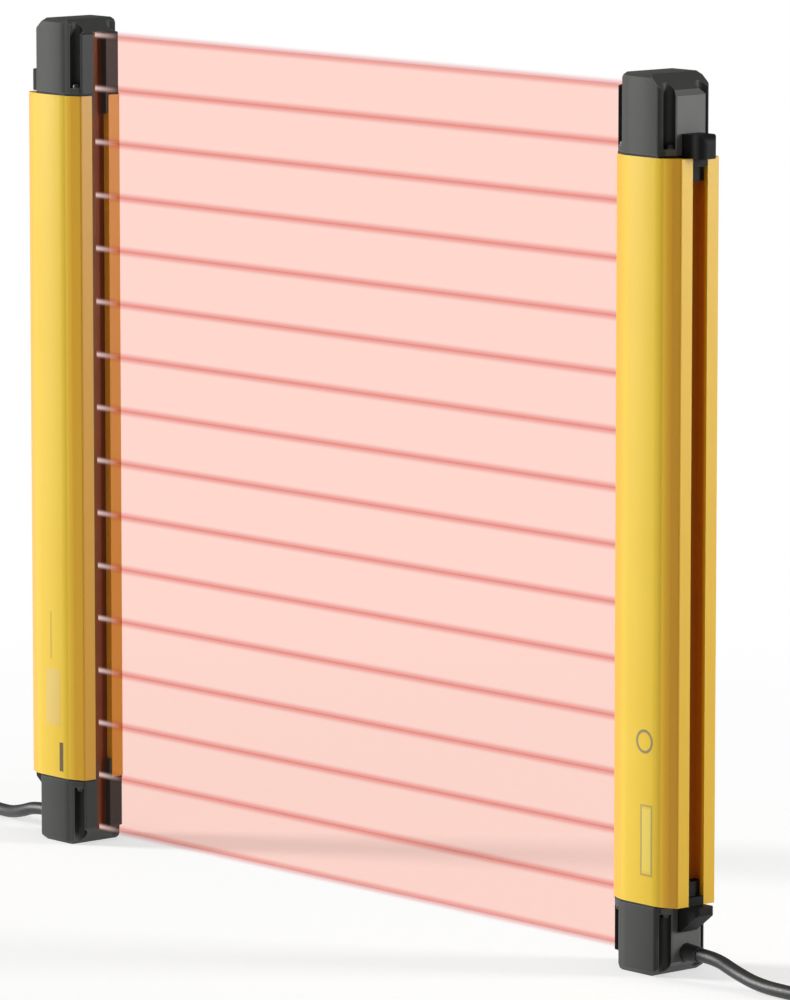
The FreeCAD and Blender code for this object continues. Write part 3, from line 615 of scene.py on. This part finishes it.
# Each mark: its name, its form, its place off the side's middle and its height in millimetres,
# the form's sizes in millimetres, its colour and its darker colour
MARKS = [
    ("transmitter_plate", add_plate, (0.8, 55.5), (8.4, 21.5), (0.84, 0.60, 0.16), (0.80, 0.55, 0.12)),
    # Painted shade of an engraved groove: a darker sheet lying on the side
    ("transmitter_line", add_plate, (-0.3, 79.0), (0.6, 18.0), (0.62, 0.44, 0.08), (0.56, 0.38, 0.06)),
    # Painted shade of a small recess: a dark sheet lying on the side
    ("transmitter_slit", add_plate, (5.6, 33.0), (2.2, 11.0), (0.20, 0.12, 0.05), (0.15, 0.09, 0.04)),
    ("receiver_ring", add_ring, (2.1, 82.0), (4.2, 3.2), (0.36, 0.27, 0.12), (0.30, 0.22, 0.09)),
    ("receiver_strip", add_plate, (3.2, 47.5), (4.4, 22.0), (0.90, 0.70, 0.13), (0.86, 0.64, 0.09)),
    ("receiver_strip_frame", add_frame, (3.2, 47.5), (6.0, 25.0, 0.7), (0.55, 0.42, 0.13),
     (0.48, 0.36, 0.10)),
]

for name, form, (off, height), sizes, colour, dark in MARKS:
    middle = SIDES[name.split("_")[0]] * SIDE_MIDDLE + off * MM
    sizes = [size * MM for size in sizes]
    piece = mesh_object(name, lambda bm: form(bm, middle, height * MM, *sizes))
    film = surface(f"{name}_film", colour, dark, MARK_ROUGHNESS, MARK_GRAIN, MARK_RELIEF,
                   specular=MARK_SPECULAR, crowned=True)
    paint(piece, film)
    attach(piece, "root")


# ---------------------------------------------------------------- camera

camera_data = bpy.data.cameras.new("camera")
camera_data.sensor_width = CAMERA_SENSOR
camera_data.lens = CAMERA_LENS
camera_data.clip_end = CAMERA_REACH
camera = bpy.data.objects.new("camera", camera_data)
bpy.context.scene.collection.objects.link(camera)
towards_camera = direction(CAMERA_AZIMUTH, CAMERA_ELEVATION)
camera.location = CAMERA_TARGET + CAMERA_DISTANCE * towards_camera
camera.rotation_euler = (-towards_camera).to_track_quat("-Z", "Y").to_euler()
bpy.context.scene.camera = camera


# ---------------------------------------------------------------- leads

lead_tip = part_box("receiver_strain_relief")[1].x

for side, outward in SIDES.items():
    curve = bpy.data.curves.new(f"{side}_lead", "CURVE")
    curve.dimensions = "3D"
    spline = curve.splines.new("NURBS")
    route = [(outward * (lead_tip + away), across, height) for away, across, height in LEAD_ROUTES[side]]
    spline.points.add(len(route) - 1)
    for point, place_at in zip(spline.points, route):
        point.co = (*place_at, 1.0)
    spline.order_u = 3
    spline.use_endpoint_u = True
    spline.resolution_u = 12
    curve.bevel_depth = LEAD_RADIUS
    curve.bevel_resolution = 8
    lead = bpy.data.objects.new(f"{side}_lead", curve)
    bpy.context.scene.collection.objects.link(lead)
    paint(lead, FINISHES["cable"])
    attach(lead, "root")
    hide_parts(f"{side}_cable")


# ---------------------------------------------------------------- the light between the posts

field_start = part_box("transmitter_window")[1].x
field_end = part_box("receiver_window")[0].x
diode_low, diode_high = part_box("transmitter_emitters")
first_beam = diode_low.z + DIODE_RADIUS
last_beam = diode_high.z - DIODE_RADIUS
beam_pitch = (last_beam - first_beam) / (BEAM_COUNT - 1)
beam_heights = [first_beam + beam_pitch * n for n in range(BEAM_COUNT)]


def beam_band(tree, step):
    """1 in the middle of each beam, falling to 0 at its half width."""
    nearest = sums(tree, "MAXIMUM", sums(tree, "ROUND", step), 0.0)
    nearest = sums(tree, "MINIMUM", nearest, BEAM_COUNT - 1.0)
    off = sums(tree, "ABSOLUTE", sums(tree, "SUBTRACT", step, nearest))
    off = sums(tree, "DIVIDE", product(tree, off, beam_pitch), BEAM_HALF_WIDTH)
    band = sums(tree, "SUBTRACT", 1.0, product(tree, off, off), clamp=True)
    return product(tree, band, band)


def between_ends(tree, step):
    """1 between the two end beams, fading to 0 just past them."""
    middle = (BEAM_COUNT - 1) / 2
    off = sums(tree, "ABSOLUTE", sums(tree, "SUBTRACT", step, middle))
    return sums(tree, "MULTIPLY", sums(tree, "SUBTRACT", middle + FIELD_MARGIN, off), FIELD_EDGE, clamp=True)


def field_material():
    """Tinted air: pink between the end beams, deeper along each beam, pale where a beam sets out, with a
    faint painted glow over the whole field, which lifts it where it passes over shadows.
    """
    material, tree, shader = node_material("field_air")
    tree.nodes.remove(shader)
    shares = split(tree, place(tree))
    step = sums(tree, "DIVIDE", sums(tree, "SUBTRACT", shares["Z"], first_beam), beam_pitch)
    band, inside = beam_band(tree, step), between_ends(tree, step)

    tint = mixed(tree, inside, WHITE[:3], FIELD_TINT)
    deeper = mixed(tree, band, WHITE[:3], BEAM_TINT)
    through = tree.nodes.new("ShaderNodeBsdfTransparent")
    tree.links.new(mixed(tree, 1.0, tint, deeper, blend="MULTIPLY"), through.inputs["Color"])

    start = sums(tree, "DIVIDE", sums(tree, "SUBTRACT", shares["X"], field_start), START_LENGTH)
    start = sums(tree, "SUBTRACT", 1.0, start, clamp=True)
    start = product(tree, start, sums(tree, "POWER", band, START_SHARPNESS))
    start = product(tree, start, START_STRENGTH)
    glow = add(tree, "ShaderNodeEmission", Color=(*START_COLOUR, 1.0), Strength=1.0)

    # A faint painted glow over the field, which lifts it where it passes over shadows
    lift_glow = add(tree, "ShaderNodeEmission", Strength=1.0)
    tree.links.new(mixed(tree, inside, (0.0, 0.0, 0.0), FIELD_LIFT_GLOW), lift_glow.inputs["Color"])
    both = tree.nodes.new("ShaderNodeAddShader")
    tree.links.new(mixed_shaders(tree, start, through, glow).outputs[0], both.inputs[0])
    tree.links.new(lift_glow.outputs[0], both.inputs[1])
    show(tree, both)
    return material


def core_material():
    """The thin middle of a beam."""
    material, tree, shader = node_material("beam_core")
    tree.nodes.remove(shader)
    show(tree, add(tree, "ShaderNodeBsdfTransparent", Color=(*CORE_TINT, 1.0)))
    return material


def only_seen(obj):
    """The camera sees it, and it neither lights nor shades anything."""
    obj.visible_shadow = False
    obj.visible_diffuse = False
    obj.visible_glossy = False
    obj.visible_transmission = False


def build_field(bm):
    low, high = first_beam - BEAM_HALF_WIDTH, last_beam + BEAM_HALF_WIDTH
    corners = [(field_start, 0, low), (field_end, 0, low), (field_end, 0, high), (field_start, 0, high)]
    bm.faces.new([bm.verts.new(c) for c in corners])


def build_beams(bm):
    lying = Matrix.Rotation(math.pi / 2, 4, "Y")
    for height in beam_heights:
        turn = Matrix.Translation(((field_start + field_end) / 2, 0, height)) @ lying
        bmesh.ops.create_cone(bm, cap_ends=False, segments=CORE_SIDES, radius1=CORE_RADIUS,
                              radius2=CORE_RADIUS, depth=field_end - field_start, matrix=turn)


field = mesh_object("light_field", build_field)
paint(field, field_material())
beams = mesh_object("light_beams", build_beams)
paint(beams, core_material())
for effect in (field, beams):
    only_seen(effect)


# ---------------------------------------------------------------- floor, lights and world

def build_floor(bm):
    bmesh.ops.create_circle(bm, cap_ends=True, segments=FLOOR_SIDES, radius=FLOOR_RADIUS)


def floor_material():
    """White floor with the object's shadow on it, which goes over into the white world farther out."""
    material, tree, shader = node_material("pale_floor")
    grain = noise(tree, place(tree), FLOOR_GRAIN, detail=3.0)
    tree.links.new(mixed(tree, remap(tree, grain, 0.0, 1.0), *FLOOR_GREYS), shader.inputs["Base Color"])
    shader.inputs["Roughness"].default_value = FLOOR_ROUGHNESS
    shader.inputs["Specular IOR Level"].default_value = 0.0

    path = tree.nodes.new("ShaderNodeLightPath")
    straight = sums(tree, "MAXIMUM", path.outputs["Is Camera Ray"], path.outputs["Is Transmission Ray"])
    seen = sums(tree, "MAXIMUM", straight, path.outputs["Is Glossy Ray"])
    shader.inputs["Emission Color"].default_value = WHITE
    tree.links.new(product(tree, seen, FLOOR_GLOW), shader.inputs["Emission Strength"])

    length = tree.nodes.new("ShaderNodeVectorMath")
    length.operation = "LENGTH"
    tree.links.new(place(tree), length.inputs[0])
    far = remap(tree, length.outputs["Value"], 0.0, 1.0, *FLOOR_FADE)
    white = add(tree, "ShaderNodeEmission", Color=WHITE, Strength=1.0)
    show(tree, mixed_shaders(tree, product(tree, far, straight), shader, white))
    return material


floor = mesh_object("floor", build_floor)
paint(floor, floor_material())


def soft_lamp(name, azimuth, elevation, distance, width, height, power):
    """A square soft lamp that looks at the middle of the object."""
    data = bpy.data.lights.new(name, "AREA")
    data.shape = "RECTANGLE"
    data.size = width
    data.size_y = height
    data.energy = power
    lamp = bpy.data.objects.new(name, data)
    away = direction(math.radians(azimuth), math.radians(elevation))
    lamp.location = LAMP_TARGET + distance * away
    lamp.rotation_euler = (-away).to_track_quat("-Z", "Y").to_euler()
    bpy.context.scene.collection.objects.link(lamp)


for lamp in LAMPS:
    soft_lamp(*lamp)

world = bpy.data.worlds.new("world")
bpy.context.scene.world = world
world.use_nodes = True
tree = world.node_tree
background = tree.nodes["Background"]
background.inputs["Color"].default_value = WHITE
path = tree.nodes.new("ShaderNodeLightPath")
level = tree.nodes.new("ShaderNodeMapRange")
level.inputs["To Min"].default_value = WORLD_LIGHT
level.inputs["To Max"].default_value = 1.0
tree.links.new(path.outputs["Is Camera Ray"], level.inputs["Value"])
tree.links.new(level.outputs["Result"], background.inputs["Strength"])

bpy.context.scene.view_settings.view_transform = "Standard"
